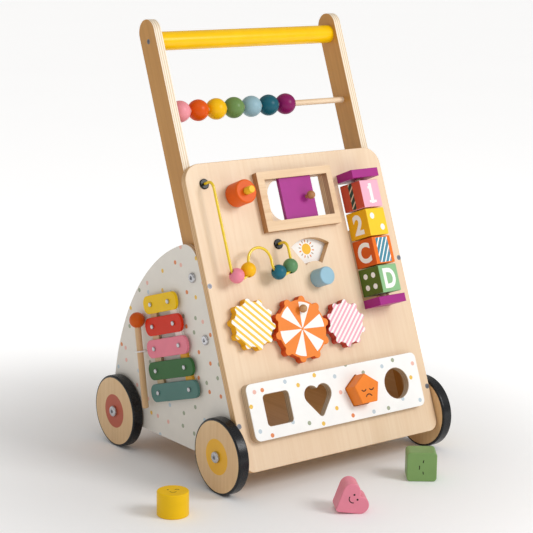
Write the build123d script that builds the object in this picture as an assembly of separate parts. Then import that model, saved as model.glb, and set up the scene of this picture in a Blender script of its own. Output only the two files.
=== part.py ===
from build123d import *
import os
from math import sin, cos, radians, sqrt

os.makedirs("parts", exist_ok=True)

# A push-along baby walker with an activity panel. Millimetres, floor at z = 0, the child
# walks behind it towards -Y. On the leaning panel, x runs across, s up its face from the
# bottom edge and h straight out of it.

# Activity panel
panel_width = 263
panel_length = 321.5
panel_thick = 8
panel_lean = 21.1
panel_bottom_y = -33.5
panel_bottom_z = 28
panel_top_r = 20
panel_bottom_r = 12
panel_edge_r = 0.8

# Side panels
side_thick = 6
side_bottom_z = 28.5
side_oval_centre = (32, 32)
side_oval_half = (185.5, 221)
side_oval_top_r = 22
side_rear_r = 14

# Handle rails, handle and abacus
rail_thick = 9
rail_depth = 29
rail_top_s = 483
rail_bottom_z = 32
handle_dia = 20
handle_s = 459.5
handle_socket = 4
rod_dia = 6.5
rod_s = 382.7
rod_socket = 5
bead_dia = 23
bead_gap = 0.3

# Tray
floor_z = 34
floor_thick = 6
floor_front_gap = 2
back_thick = 6
back_y = 198
back_top_z = 100
beam_front_y = 186
beam_bottom_z = 29
beam_height = 22

# Wheels
wheel_dia = 80
wheel_width = 12.5
wheelbase = 195
tyre_thick = 2.5
tyre_shoulder_r = 1.8
washer_gap = 1
axle_dia = 8
axle_grip = 15
axle_head_dia = 12
axle_head_height = 3

# Fasteners
bolt_dia = 6
bolt_grip = 13
bolt_head_dia = 10.5
bolt_head_height = 2.6
bolt_s = (142, 207.5)
hex_socket = 4
hex_depth = 1.6
screw_dia = 3.5
screw_head_dia = 5.6
screw_head_depth = 2
screw_length = 30
panel_screw_s = (48.5, 194)

# Fits: radial clearance of a turning or sliding fit, and the gap beside moving faces
run_gap = 0.08
face_gap = 0.3

# Bead wire
wire_dia = 3
wire_height = 16
wire_x = (-109.5, -86.2, -57, -32)
wire_s = (299.4, 207, 210, 205.5, 227.3)
wire_end_r = 8
wire_tail = 12
wire_bead_dia = 16
wire_bead_bore = 6.8
wire_bead_angle = (232, 338, 236, 335)
grommet_dia = 11
grommet_neck_dia = 8
grommet_lip = 1.8

# Round nut on its threaded pin
nut_at = (-74, 283.8)
nut_dia = 25.5
nut_length = 20.5
nut_front_h = 22
nut_edge_r = 1.6
thread_dia = 8
thread_end_h = 32
thread_edge_r = 0.8

# Sliding door
door_frame_x = (-47, 53)
door_frame_s = (240.3, 304.5)
door_frame_height = 8
door_frame_corner_r = 1
door_hole_x = (-38, 46)
door_hole_s = (251, 296)
door_lip = 2.8
door_overlap = 3
door_x = -17.2
door_width = 42.7
door_knob_x = 15
door_knob_dia = 9.3
door_knob_h = 13
knob_stem_dia = 4
window_left_x = -32.5
window_left_r = 18

# Picture disc, its dial and the fan-shaped window
dial_at = (10, 185)
dial_dia = 19.5
dial_height = 18
dial_edge_r = 1.5
dial_shaft_dia = 8
disc_dia = 98
disc_thick = 3
fan_radii = (19.2, 45)
fan_half_angle = 35

# Gears: centre x, centre s, tip diameter, root diameter, lobe radius, first lobe angle
gear_teeth = 10
gear_thick = 8.5
gear_front_h = 10
gear_fillet_r = 2
gear_edge_r = 0.6
gear_yellow = (-91.3, 147.6, 55, 47, 3.6, -12.6)
gear_orange = (-31.4, 134.2, 71, 62, 4.2, 5.4)
gear_pink = (28.1, 132.2, 51.5, 44, 3.3, 10.6)
gear_pin_dia = 8
gear_collar_dia = 14
gear_skin = 1.8
gear_knob_offset = (2.6, 20.5)
gear_knob_dia = 8.7
gear_knob_h = 15

# Turning cubes between their brackets
cube_size = 30
cube_pitch = 31.4
cube_edge_r = 1.2
cube_x = 84
cube_h = 12
cube_turn = 8.6
cube_slot_width = 38
cube_axle_dia = 6
bracket_width = 37
bracket_height = 27
bracket_thick = 9.2
bracket_edge_r = 0.8
bracket_gap_s = (152.8, 284)
axle_socket = 5

# Shape sorter
board_margin = (14, 18)
board_s = (29, 88.5)
board_thick = 8.5
board_corner_r = 7
board_edge_r = 0.8
hole_s = 58.6
hole_margin = (35.5, 33.9)
hole_gap = 0.7
cut_margin = 5
cut_corner_r = 8
block_length = 25
block_edge_r = 1.2
square_size = 31.5
square_corner_r = 4
round_dia = 32
pentagon_r = 17.5
pentagon_corner_r = 1.5
pentagon_front_h = 24
heart_lobe_r = 9
heart_lobe_at = (8, 6.2)
heart_tip_r = 3
heart_tip_s = -13.5
heart_notch_r = 1

# Blocks lying on the floor
round_at = (-213.3, -21.9)
square_at = (60.2, -83.3)
square_turn = 37.4
heart_at = (-64.1, -113.3)
heart_turn = 30.8
heart_tilt = 58.5

# Xylophone on the left side: its middle bar, its lean and its bars from the top down
xylo_at = (101.8, 132.2)
xylo_lean = 17
xylo_bars = (64.5, 71, 78.5, 86, 90.5)
xylo_pitch = 23.6
xylo_bar_width = 19.5
xylo_bar_thick = 3
xylo_bar_corner_r = 8.5
xylo_bar_edge_r = 0.6
xylo_pin_inset = 15
xylo_rail_thick = 3.2
xylo_rail_width = 12
xylo_pin_dia = 3
xylo_head_dia = 5
xylo_head_height = 1.8
xylo_head_edge_r = 0.7
xylo_pin_grip = 4

# Mallet
mallet_head_dia = 17
mallet_head_at = (154.8, 151.1)
mallet_handle_dia = 7
mallet_length = 96
mallet_lean = 9.8
mallet_socket = 6
mallet_edge_r = 1.5

# Worked out from the sizes above
lean = radians(panel_lean)
panel_plane = Plane(origin=(0, panel_bottom_y, panel_bottom_z), x_dir=(1, 0, 0),
                    z_dir=(0, -cos(lean), sin(lean)))
side_x = panel_width / 2
rail_x = side_x - side_thick
rail_inner_x = rail_x - rail_thick
wheel_inner_x = side_x + washer_gap
wheel_outer_x = wheel_inner_x + wheel_width
wheel_r = wheel_dia / 2
axle_at = ((0, wheel_r), (wheelbase, wheel_r))
rail_mid_d = panel_thick + rail_depth / 2
bead_pitch = bead_dia + bead_gap
bead_x = [-rail_inner_x + bead_gap + bead_dia / 2 + i * bead_pitch for i in range(7)]
bead_travel = rail_inner_x - bead_gap - bead_dia / 2 - bead_x[-1]
board_x = (board_margin[0] - side_x, side_x - board_margin[1])
hole_ends = (board_x[0] + hole_margin[0], board_x[1] - hole_margin[1])
hole_x = [hole_ends[0] + i * (hole_ends[1] - hole_ends[0]) / 3 for i in range(4)]
door_thick = door_frame_height - door_lip - 2 * face_gap
door_left_travel = door_hole_x[0] - door_x + face_gap
door_right_travel = door_hole_x[1] - door_x - door_width - face_gap
cube_mid_s = sum(bracket_gap_s) / 2
cube_s = [cube_mid_s + (i - 1.5) * cube_pitch for i in range(4)]
disc_back_h = -panel_thick - face_gap - disc_thick
first_bend_r = (wire_x[1] - wire_x[0]) / 2
second_bend_r = (wire_x[3] - wire_x[2]) / 2
bend_at = ((wire_x[0] + first_bend_r, wire_s[1]), (wire_x[2] + second_bend_r, wire_s[3]))
xylo_plane = Plane(origin=(-side_x, *xylo_at), x_dir=(0, -cos(radians(xylo_lean)),
                   sin(radians(xylo_lean))), z_dir=(-1, 0, 0))
mallet_x = -side_x - face_gap - mallet_head_dia / 2
low = (Align.CENTER, Align.CENTER, Align.MIN)
touch = 0.001  # how near two places are when they count as one


def on_panel(x, s, h=0):
    """The place on the leaning panel, with local Z pointing out of its face."""
    return panel_plane.location * Location((x, s, h))


def slope_yz(s, depth):
    """World y and z of a point s up the panel and depth behind its face."""
    return (panel_bottom_y + s * sin(lean) + depth * cos(lean),
            panel_bottom_z + s * cos(lean) - depth * sin(lean))


def slope_y(z, depth):
    """World y at height z on the slope a depth behind the panel's face."""
    return slope_yz((z - panel_bottom_z + depth * sin(lean)) / cos(lean), depth)[0]


def along_x(x, y, z):
    """A place whose local Z points outwards along X, away from the middle."""
    return Location((x, y, z), (0, 90 if x > 0 else -90, 0))


def span(x, s):
    """A rectangle from its two x values and its two s values."""
    return Pos(sum(x) / 2, sum(s) / 2) * Rectangle(x[1] - x[0], s[1] - s[0])


def rim(solid, z, radius):
    """Round every edge that lies at height z."""
    edges = [e for e in solid.edges() if abs(e.bounding_box().min.Z - z) < touch
             and abs(e.bounding_box().max.Z - z) < touch]
    return fillet(edges, radius)


def fan(inner, outer):
    """A sector of a ring, opening upwards."""
    reach = 2 * outer
    half = radians(fan_half_angle)
    wedge = Polygon((0, 0), (reach * sin(half), reach * cos(half)),
                    (-reach * sin(half), reach * cos(half)), align=None)
    return (Circle(outer) - Circle(inner)) & wedge


def heart(grow=0):
    """The heart outline: two lobes, each drawn down to one rounded tip."""
    x, s = heart_lobe_at
    tip = Pos(0, heart_tip_s) * Circle(heart_tip_r + grow)
    lobes = [Pos(side * x, s) * Circle(heart_lobe_r + grow) for side in (-1, 1)]
    shape = Sketch() + [make_hull((Sketch() + [tip, lobe]).edges()) for lobe in lobes]
    notch = [v for v in shape.vertices() if abs(v.X) < touch and v.Y > 0]
    return fillet(notch, heart_notch_r)


def rounded_square(size, corner_r):
    return RectangleRounded(size, size, corner_r)


def pentagon(grow=0):
    shape = RegularPolygon(pentagon_r + grow, 5, rotation=90)
    return fillet(shape.vertices(), pentagon_corner_r)


def bolt(dia, grip, head_dia, head_height):
    """A domed socket bolt: its head sits on z = 0 and its shank points down."""
    head = Cylinder(head_dia / 2, head_height, align=low)
    head = rim(head, head_height, head_height / 2)
    socket = Pos(0, 0, head_height - hex_depth) * extrude(
        RegularPolygon(hex_socket / 2, 6, major_radius=False), head_height)
    return head - socket + Pos(0, 0, -grip / 2) * Cylinder(dia / 2, grip)


def screw():
    """A countersunk wood screw with its head flush at z = 0."""
    cone = Pos(0, 0, -screw_head_depth / 2) * Cone(screw_dia / 2, screw_head_dia / 2, screw_head_depth)
    shank = Pos(0, 0, -screw_length / 2) * Cylinder(screw_dia / 2, screw_length)
    slot_size = (screw_head_dia / 2, screw_head_dia / 8, screw_head_depth / 2)
    cross = Box(*slot_size) + Rot(0, 0, 90) * Box(*slot_size)
    return cone + shank - cross


def screw_places():
    """Four hold the panel to the side panels and two hold the handle."""
    mid = side_x - side_thick / 2
    places = [on_panel(x, s) for x in (-mid, mid) for s in panel_screw_s]
    y, z = slope_yz(handle_s, rail_mid_d)
    return places + [along_x(x, y, z) for x in (-rail_x, rail_x)]


def wood_screws():
    return Compound([place * screw() for place in screw_places()])


def screw_holes():
    """The same outline without the cross, to cut the wood with."""
    cone = Pos(0, 0, -screw_head_depth / 2) * Cone(screw_dia / 2, screw_head_dia / 2, screw_head_depth)
    shank = Pos(0, 0, -screw_length / 2) * Cylinder(screw_dia / 2, screw_length)
    return [place * (cone + shank) for place in screw_places()]


def side_bolts():
    one = bolt(bolt_dia, bolt_grip, bolt_head_dia, bolt_head_height)
    return Compound([along_x(x, *slope_yz(s, rail_mid_d)) * one
                     for x in (-side_x, side_x) for s in bolt_s])


def axle_bolts():
    """Each turns a wheel on its shank, through the side panel into the wood behind."""
    stack = face_gap + wheel_width + washer_gap + axle_grip
    one = bolt(axle_dia, stack, axle_head_dia, axle_head_height)
    x = wheel_outer_x + face_gap
    return Compound([along_x(side * x, *at) * one for side in (-1, 1) for at in axle_at])


def handle_bar():
    y, z = slope_yz(handle_s, rail_mid_d)
    length = 2 * (rail_inner_x + handle_socket)
    return Pos(0, y, z) * Rot(0, 90, 0) * Cylinder(handle_dia / 2, length)


def abacus_rod():
    y, z = slope_yz(rod_s, rail_mid_d)
    length = 2 * (rail_inner_x + rod_socket)
    return Pos(0, y, z) * Rot(0, 90, 0) * Cylinder(rod_dia / 2, length)


def abacus_bead(x):
    y, z = slope_yz(rod_s, rail_mid_d)
    bead = Sphere(bead_dia / 2) - Cylinder(rod_dia / 2 + run_gap, bead_dia)
    return Pos(x, y, z) * Rot(0, 90, 0) * bead


def rails(fixings):
    """Two straight rails with half-round tops, cut level at the bottom."""
    half = rail_depth / 2
    top_mid = rail_top_s - half
    outline = Pos(0, top_mid / 2) * Rectangle(rail_depth, top_mid) + Pos(0, top_mid) * Circle(half)
    blank = Rot(0, 90, 0) * extrude(outline, rail_thick)
    blank = on_panel(0, 0, -rail_mid_d) * blank
    below = Box(panel_width, panel_width, panel_length, align=(Align.CENTER, Align.CENTER, Align.MAX))
    blank -= Pos(0, 0, rail_bottom_z) * below
    pair = [Pos(x, 0, 0) * blank for x in (-rail_x, rail_inner_x)]
    return Compound([(rail - fixings).solid() for rail in pair])


def side_panels(fixings):
    """Half-oval plywood sides, meeting the panel's back face along their front edge."""
    reach = 2 * panel_length
    start = (side_bottom_z - panel_bottom_z + panel_thick * sin(lean)) / cos(lean)
    keep = Polygon(slope_yz(start, panel_thick), (reach, side_bottom_z), (reach, reach),
                   slope_yz(reach, panel_thick), align=None)
    oval = Pos(*side_oval_centre) * Ellipse(*side_oval_half)
    blank = extrude(oval & keep, side_thick)
    upright = blank.edges().filter_by(Axis.Z)
    blank = fillet(upright.sort_by(Axis.Y)[-1], side_oval_top_r)
    upright = blank.edges().filter_by(Axis.Z).filter_by(
        lambda e: abs(e.center().Y - side_bottom_z) < touch)
    blank = fillet(upright.sort_by(Axis.X)[-1], side_rear_r)
    blank = Plane.YZ.location * blank
    pair = [Pos(x, 0, 0) * blank for x in (-side_x, rail_x)]
    return Compound([(side - fixings).solid() for side in pair])


def sorter_holes(grow):
    """The four openings of the shape sorter, each at its place."""
    outlines = (rounded_square(square_size + 2 * grow, square_corner_r), heart(grow), pentagon(grow),
                Circle(round_dia / 2 + grow))
    return Sketch() + [Pos(x, hole_s) * outline for x, outline in zip(hole_x, outlines)]


def front_panel(fixings):
    """The leaning panel with all its cut-outs."""
    outline = Pos(0, panel_length / 2) * Rectangle(panel_width, panel_length)
    outline = fillet(outline.vertices().group_by(Axis.Y)[-1], panel_top_r)
    outline = fillet(outline.vertices().group_by(Axis.Y)[0], panel_bottom_r)
    panel = rim(Pos(0, 0, -panel_thick) * extrude(outline, panel_thick), 0, panel_edge_r)

    window = span((window_left_x, door_hole_x[1]), door_hole_s)
    window = fillet(window.vertices().group_by(Axis.X)[0], window_left_r)
    slot = span((cube_x - cube_slot_width / 2, cube_x + cube_slot_width / 2), bracket_gap_s)
    half = round_dia / 2 + hole_gap + cut_margin
    cut = Pos((hole_x[0] + hole_x[-1]) / 2, hole_s) * RectangleRounded(
        hole_x[-1] - hole_x[0] + 2 * half, 2 * half, cut_corner_r)
    cuts = window + slot + cut + Pos(*dial_at) * fan(*fan_radii)
    panel -= Pos(0, 0, -panel_thick) * extrude(cuts, panel_thick)
    panel -= Pos(*dial_at) * Cylinder(dial_shaft_dia / 2 + run_gap, 3 * panel_thick)
    return (panel_plane.location * panel - fixings).solid()


def door_frame():
    """A rim glued on the panel, its groove open towards the panel to hold the door."""
    frame = extrude(span(door_frame_x, door_frame_s) - span(door_hole_x, door_hole_s), door_frame_height)
    groove_s = (door_hole_s[0] - door_overlap - face_gap, door_hole_s[1] + door_overlap + face_gap)
    frame -= extrude(span(door_hole_x, groove_s), door_frame_height - door_lip)
    upright = frame.edges().filter_by(Axis.Z).group_by(Axis.X)
    frame = fillet(upright[0] + upright[-1], door_frame_corner_r)
    return panel_plane.location * frame


def door_knob_stem():
    mid_s = sum(door_hole_s) / 2
    start = face_gap + door_thick / 2
    stem = Cylinder(knob_stem_dia / 2, door_knob_h - start, align=low)
    return on_panel(door_knob_x, mid_s, start) * stem


def sliding_door():
    height = door_hole_s[1] - door_hole_s[0] + 2 * door_overlap
    mid_s = sum(door_hole_s) / 2
    door = Box(door_width, height, door_thick, align=low)
    return on_panel(door_x + door_width / 2, mid_s, face_gap) * door - door_knob_stem()


def door_knob():
    mid_s = sum(door_hole_s) / 2
    return on_panel(door_knob_x, mid_s, door_knob_h) * Sphere(door_knob_dia / 2) + door_knob_stem()


def wire_path():
    """Out of one grommet, round two bends and an arch, and into the other grommet."""
    x, s, r = wire_x, wire_s, wire_end_r
    top = wire_height
    k = r * (1 - sqrt(0.5))
    arch_r = (x[2] - x[1]) / 2
    parts = [
        Line((x[0], s[0], -wire_tail), (x[0], s[0], top - r)),
        ThreePointArc((x[0], s[0], top - r), (x[0], s[0] - k, top - k), (x[0], s[0] - r, top)),
        Line((x[0], s[0] - r, top), (x[0], s[1], top)),
        ThreePointArc((x[0], s[1], top), (bend_at[0][0], s[1] - first_bend_r, top), (x[1], s[1], top)),
        Line((x[1], s[1], top), (x[1], s[2], top)),
        ThreePointArc((x[1], s[2], top), (x[1] + arch_r, s[2] + arch_r, top), (x[2], s[2], top)),
        Line((x[2], s[2], top), (x[2], s[3], top)),
        ThreePointArc((x[2], s[3], top), (bend_at[1][0], s[3] - second_bend_r, top), (x[3], s[3], top)),
        Line((x[3], s[3], top), (x[3], s[4] - r, top)),
        ThreePointArc((x[3], s[4] - r, top), (x[3], s[4] - k, top - k), (x[3], s[4], top - r)),
        Line((x[3], s[4], top - r), (x[3], s[4], -wire_tail)),
    ]
    return Wire([part.edge() for part in parts])


def bead_wire():
    path = wire_path()
    section = Plane(origin=path @ 0, z_dir=path % 0) * Circle(wire_dia / 2)
    return panel_plane.location * sweep(section, path=path)


def wire_bead(bend, radius, angle):
    """A bead threaded on a bend, its bore along the wire there."""
    bore_shift = radius - (wire_bead_dia / 2) ** 2 / radius / 4
    turn = radians(angle)
    x, s = bend[0] + bore_shift * cos(turn), bend[1] + bore_shift * sin(turn)
    bead = Sphere(wire_bead_dia / 2) - Rot(90, 0, 0) * Cylinder(wire_bead_bore / 2, wire_bead_dia)
    return on_panel(x, s, wire_height) * Rot(0, 0, angle) * bead


def grommets():
    lip = rim(Cylinder(grommet_dia / 2, grommet_lip, align=low), grommet_lip, grommet_lip / 2)
    neck = Pos(0, 0, -panel_thick / 2) * Cylinder(grommet_neck_dia / 2, panel_thick)
    one = lip + neck - Cylinder(wire_dia / 2, 3 * panel_thick)
    return Compound([on_panel(wire_x[0], wire_s[0]) * one, on_panel(wire_x[3], wire_s[4]) * one])


def threaded_pin():
    length = thread_end_h + panel_thick
    pin = rim(Cylinder(thread_dia / 2, length, align=low), length, thread_edge_r)
    return on_panel(*nut_at, -panel_thick) * pin


def round_nut():
    nut = rim(Cylinder(nut_dia / 2, nut_length, align=low), nut_length, nut_edge_r)
    nut -= Cylinder(thread_dia / 2 + run_gap, 3 * nut_length)
    return on_panel(*nut_at, nut_front_h - nut_length) * nut


def dial_knob():
    """The knob and the shaft that carries the picture disc behind the panel."""
    knob = rim(Cylinder(dial_dia / 2, dial_height, align=low), dial_height, dial_edge_r)
    shaft = Cylinder(dial_shaft_dia / 2, face_gap - disc_back_h, align=low)
    return on_panel(*dial_at, face_gap) * knob + on_panel(*dial_at, disc_back_h) * shaft


def picture_disc():
    disc = Cylinder(disc_dia / 2, disc_thick, align=low)
    disc -= Cylinder(dial_shaft_dia / 2, 3 * disc_thick)
    return on_panel(*dial_at, disc_back_h) * disc


def gear(sizes):
    """A disc with round lobes for teeth, and a blind bore from behind."""
    x, s, tip, root, lobe, first = sizes
    lobes = [Rot(0, 0, first + i * 360 / gear_teeth) * Pos(tip / 2 - lobe, 0) * Circle(lobe)
             for i in range(gear_teeth)]
    outline = Circle(root / 2) + lobes
    outline = fillet(outline.vertices(), gear_fillet_r)
    wheel = rim(extrude(outline, gear_thick), gear_thick, gear_edge_r)
    bore = gear_thick - gear_skin
    wheel -= Cylinder(gear_pin_dia / 2 + run_gap, bore, align=low)
    return on_panel(x, s, gear_front_h - gear_thick) * wheel


def gear_pins():
    """Fixed pins with a collar that keeps each gear off the panel."""
    back_h = gear_front_h - gear_thick
    length = panel_thick + gear_front_h - gear_skin - face_gap
    pin = Pos(0, 0, -panel_thick) * Cylinder(gear_pin_dia / 2, length, align=low)
    pin += Cylinder(gear_collar_dia / 2, back_h - face_gap, align=low)
    return Compound([on_panel(g[0], g[1]) * pin for g in (gear_yellow, gear_orange, gear_pink)])


def gear_knob_stem():
    start = gear_front_h - gear_thick / 2
    x, s = gear_orange[0] + gear_knob_offset[0], gear_orange[1] + gear_knob_offset[1]
    return on_panel(x, s, start) * Cylinder(knob_stem_dia / 2, gear_knob_h - start, align=low)


def gear_knob():
    x, s = gear_orange[0] + gear_knob_offset[0], gear_orange[1] + gear_knob_offset[1]
    return on_panel(x, s, gear_knob_h) * Sphere(gear_knob_dia / 2) + gear_knob_stem()


def block_axle():
    start = bracket_gap_s[0] - axle_socket
    length = bracket_gap_s[1] + axle_socket - start
    return on_panel(cube_x, start, cube_h) * Rot(-90, 0, 0) * Cylinder(cube_axle_dia / 2, length, align=low)


def block_brackets():
    bar = Box(bracket_width, bracket_thick, bracket_height, align=low)
    bar = rim(bar, bracket_height, bracket_edge_r)
    half = bracket_thick / 2
    pair = [on_panel(cube_x, s) * bar for s in (bracket_gap_s[0] - half, bracket_gap_s[1] + half)]
    return Compound([(one - block_axle()).solid() for one in pair])


def cube(s):
    block = fillet(Box(cube_size, cube_size, cube_size).edges(), cube_edge_r)
    block -= Rot(90, 0, 0) * Cylinder(cube_axle_dia / 2 + run_gap, 2 * cube_size)
    return on_panel(cube_x, s, cube_h) * Rot(0, cube_turn, 0) * block


def sorter_board():
    width, height = board_x[1] - board_x[0], board_s[1] - board_s[0]
    outline = Pos(sum(board_x) / 2, sum(board_s) / 2) * RectangleRounded(width, height, board_corner_r)
    board = extrude(outline - sorter_holes(hole_gap), board_thick)
    board = rim(board, board_thick, board_edge_r)
    return panel_plane.location * board


def loose_block(outline):
    """A sorting block standing on z = 0, rounded round both end faces."""
    block = extrude(outline, block_length)
    return rim(rim(block, block_length, block_edge_r), 0, block_edge_r)


def pentagon_block():
    return on_panel(hole_x[2], hole_s, pentagon_front_h - block_length) * loose_block(pentagon())


def cylinder_block():
    return Pos(*round_at, 0) * loose_block(Circle(round_dia / 2))


def square_block():
    block = Pos(0, block_length / 2, square_size / 2) * Rot(90, 0, 0) * loose_block(
        rounded_square(square_size, square_corner_r))
    return Pos(*square_at, 0) * Rot(0, 0, -square_turn) * block


def heart_block():
    block = Rot(90, 0, 0) * Rot(0, 0, -heart_tilt) * loose_block(heart())
    block = Pos(0, block_length / 2, -block.bounding_box().min.Z) * block
    return Pos(*heart_at, 0) * Rot(0, 0, -heart_turn) * block


def tray_floor(fixings):
    """Lies between the side panels, notched round the rails, just behind the panel."""
    top_z = floor_z + floor_thick
    y = (slope_y(top_z, panel_thick) + floor_front_gap, beam_front_y)
    board = Box(2 * rail_x, y[1] - y[0], floor_thick, align=low)
    board = Pos(0, sum(y) / 2, floor_z) * board
    notch_y = slope_y(top_z, panel_thick + rail_depth) + floor_front_gap
    notch = Box(rail_thick, 2 * (notch_y - y[0]), 2 * top_z)
    mid_x = rail_x - rail_thick / 2
    board -= [Pos(x, y[0], top_z) * notch for x in (-mid_x, mid_x)]
    return (board - fixings).solid()


def back_board():
    bottom = beam_bottom_z + beam_height
    board = Box(2 * rail_x, back_thick, back_top_z - bottom, align=low)
    return Pos(0, back_y + back_thick / 2, bottom) * board


def rear_beam(fixings):
    """A solid bar between the side panels that takes both rear axle bolts."""
    depth = back_y + back_thick - beam_front_y
    beam = Box(2 * rail_x, depth, beam_height, align=low)
    return (Pos(0, beam_front_y + depth / 2, beam_bottom_z) * beam - fixings).solid()


def wheel_disc(side, at):
    disc = Cylinder(wheel_r - tyre_thick, wheel_width, align=low)
    disc -= Cylinder(axle_dia / 2 + run_gap, 3 * wheel_width)
    return along_x(side * wheel_inner_x, *at) * disc


def tyre(side, at):
    ring = Cylinder(wheel_r, wheel_width, align=low)
    ring = rim(rim(ring, 0, tyre_shoulder_r), wheel_width, tyre_shoulder_r)
    ring -= Cylinder(wheel_r - tyre_thick, 3 * wheel_width)
    return along_x(side * wheel_inner_x, *at) * ring


def xylo_rows():
    """Height up the column and pin distance from the middle, for each bar."""
    return [((2 - i) * xylo_pitch, length / 2 - xylo_pin_inset) for i, length in enumerate(xylo_bars)]


def xylophone_rails():
    """Two slanting strips that carry the bars off the side panel."""
    (top, top_pin), (bottom, bottom_pin) = xylo_rows()[0], xylo_rows()[-1]
    half, end = xylo_rail_width / 2, xylo_bar_width / 2 - 1
    strips = []
    for side in (-1, 1):
        a, b = side * top_pin, side * bottom_pin
        outline = Polygon((b - half, bottom - end), (b + half, bottom - end), (a + half, top + end),
                          (a - half, top + end), align=None)
        strips.append(xylo_plane.location * extrude(outline, xylo_rail_thick) - xylophone_pins())
    return Compound([strip.solid() for strip in strips])


def xylophone_bars():
    bars = []
    for length, (v, _) in zip(xylo_bars, xylo_rows()):
        outline = Pos(0, v) * RectangleRounded(length, xylo_bar_width, xylo_bar_corner_r)
        bar = rim(extrude(outline, xylo_bar_thick), xylo_bar_thick, xylo_bar_edge_r)
        bars.append(xylo_plane.location * Pos(0, 0, xylo_rail_thick) * bar - xylophone_pins())
    return Compound([bar.solid() for bar in bars])


def xylophone_pins():
    front = xylo_rail_thick + xylo_bar_thick
    head = rim(Cylinder(xylo_head_dia / 2, xylo_head_height, align=low), xylo_head_height,
               xylo_head_edge_r)
    length = front + xylo_pin_grip
    one = Pos(0, 0, front) * head + Pos(0, 0, -xylo_pin_grip) * Cylinder(
        xylo_pin_dia / 2, length, align=low)
    return Compound([xylo_plane.location * Pos(side * pin, v, 0) * one
                     for v, pin in xylo_rows() for side in (-1, 1)])


def mallet_place():
    return Location((mallet_x, *mallet_head_at), (-mallet_lean, 0, 0))


def mallet_handle():
    handle = Cylinder(mallet_handle_dia / 2, mallet_length, align=low)
    handle = rim(handle, 0, mallet_edge_r)
    return mallet_place() * Pos(0, 0, -mallet_length) * handle


def mallet_head():
    head = Sphere(mallet_head_dia / 2)
    return mallet_place() * head - mallet_handle()


def build():
    """Every node by name, with the toy standing in the middle of its own outline."""
    bolts, axles, screws = side_bolts(), axle_bolts(), screw_holes()
    panel_holes = [*screws, gear_pins(), threaded_pin(),
                   *[on_panel(x, s) * Cylinder(grommet_neck_dia / 2, 3 * panel_thick)
                     for x, s in ((wire_x[0], wire_s[0]), (wire_x[3], wire_s[4]))]]
    nodes = {
        "front_panel": front_panel(panel_holes),
        "side_panels": side_panels([bolts, axles, *screws, xylophone_pins()]),
        "rails": rails([bolts, axles, *screws, handle_bar(), abacus_rod()]),
        "handle_bar": (handle_bar() - screws).solid(),
        "abacus_rod": abacus_rod(),
        "tray_floor": tray_floor([]),
        "back_board": back_board(),
        "rear_beam": rear_beam([axles]),
        "sorter_board": sorter_board(),
        "door_frame": door_frame(),
        "block_brackets": block_brackets(),
        "block_axle": block_axle(),
        "bead_wire": bead_wire(),
        "grommets": grommets(),
        "threaded_pin": threaded_pin(),
        "gear_pins": gear_pins(),
        "xylophone_bars": xylophone_bars(),
        "xylophone_rails": xylophone_rails(),
        "xylophone_pins": xylophone_pins(),
        "wood_screws": wood_screws(),
        "side_bolts": bolts,
        "axle_bolts": axles,
        "round_nut": round_nut(),
        "sliding_door": sliding_door(),
        "door_knob": door_knob(),
        "dial_knob": dial_knob(),
        "picture_disc": picture_disc(),
        "gear_yellow": gear(gear_yellow),
        "gear_orange": gear(gear_orange) - gear_knob_stem(),
        "gear_pink": gear(gear_pink),
        "gear_knob": gear_knob(),
        "mallet_handle": mallet_handle(),
        "mallet_head": mallet_head(),
        "pentagon_block": pentagon_block(),
        "cylinder_block": cylinder_block(),
        "heart_block": heart_block(),
        "square_block": square_block(),
    }
    corners = {"front_left": (-1, axle_at[0]), "front_right": (1, axle_at[0]),
               "rear_left": (-1, axle_at[1]), "rear_right": (1, axle_at[1])}
    for name, (side, at) in corners.items():
        nodes["wheel_disc_" + name] = wheel_disc(side, at)
        nodes["tyre_" + name] = tyre(side, at)
    for i, x in enumerate(bead_x):
        nodes[f"abacus_bead_{i + 1}"] = abacus_bead(x)
    bends = (bend_at[0], bend_at[0], bend_at[1], bend_at[1])
    radii = (first_bend_r, first_bend_r, second_bend_r, second_bend_r)
    for i, angle in enumerate(wire_bead_angle):
        nodes[f"wire_bead_{i + 1}"] = wire_bead(bends[i], radii[i], angle)
    for i, s in enumerate(reversed(cube_s)):
        nodes[f"cube_{i + 1}"] = cube(s)
    return nodes


nodes = build()
outline = Compound([solid for shape in nodes.values() for solid in shape.solids()]).bounding_box()
origin = ((outline.min.X + outline.max.X) / 2, (outline.min.Y + outline.max.Y) / 2, outline.min.Z)
to_middle = Pos(-origin[0], -origin[1], -origin[2])
for name, shape in nodes.items():
    export_step(Compound([to_middle * solid for solid in shape.solids()]), f"parts/{name}.step")
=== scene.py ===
import math

import bpy
from mathutils import Matrix, Vector


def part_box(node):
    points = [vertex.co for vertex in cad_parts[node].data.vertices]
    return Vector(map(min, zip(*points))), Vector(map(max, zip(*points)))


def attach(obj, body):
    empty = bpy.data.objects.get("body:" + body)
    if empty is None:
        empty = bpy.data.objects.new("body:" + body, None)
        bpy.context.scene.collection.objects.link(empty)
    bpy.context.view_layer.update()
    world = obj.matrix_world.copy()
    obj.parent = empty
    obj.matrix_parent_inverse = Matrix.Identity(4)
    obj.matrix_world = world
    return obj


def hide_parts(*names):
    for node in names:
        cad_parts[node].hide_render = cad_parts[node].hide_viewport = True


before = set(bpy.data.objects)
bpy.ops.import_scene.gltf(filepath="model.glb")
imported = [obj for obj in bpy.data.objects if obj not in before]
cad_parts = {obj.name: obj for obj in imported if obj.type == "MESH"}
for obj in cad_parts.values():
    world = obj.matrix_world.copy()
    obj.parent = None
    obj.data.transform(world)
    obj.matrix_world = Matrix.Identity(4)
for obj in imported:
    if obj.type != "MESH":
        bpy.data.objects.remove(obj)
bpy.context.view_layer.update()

bpy.ops.object.select_all(action="DESELECT")

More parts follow.
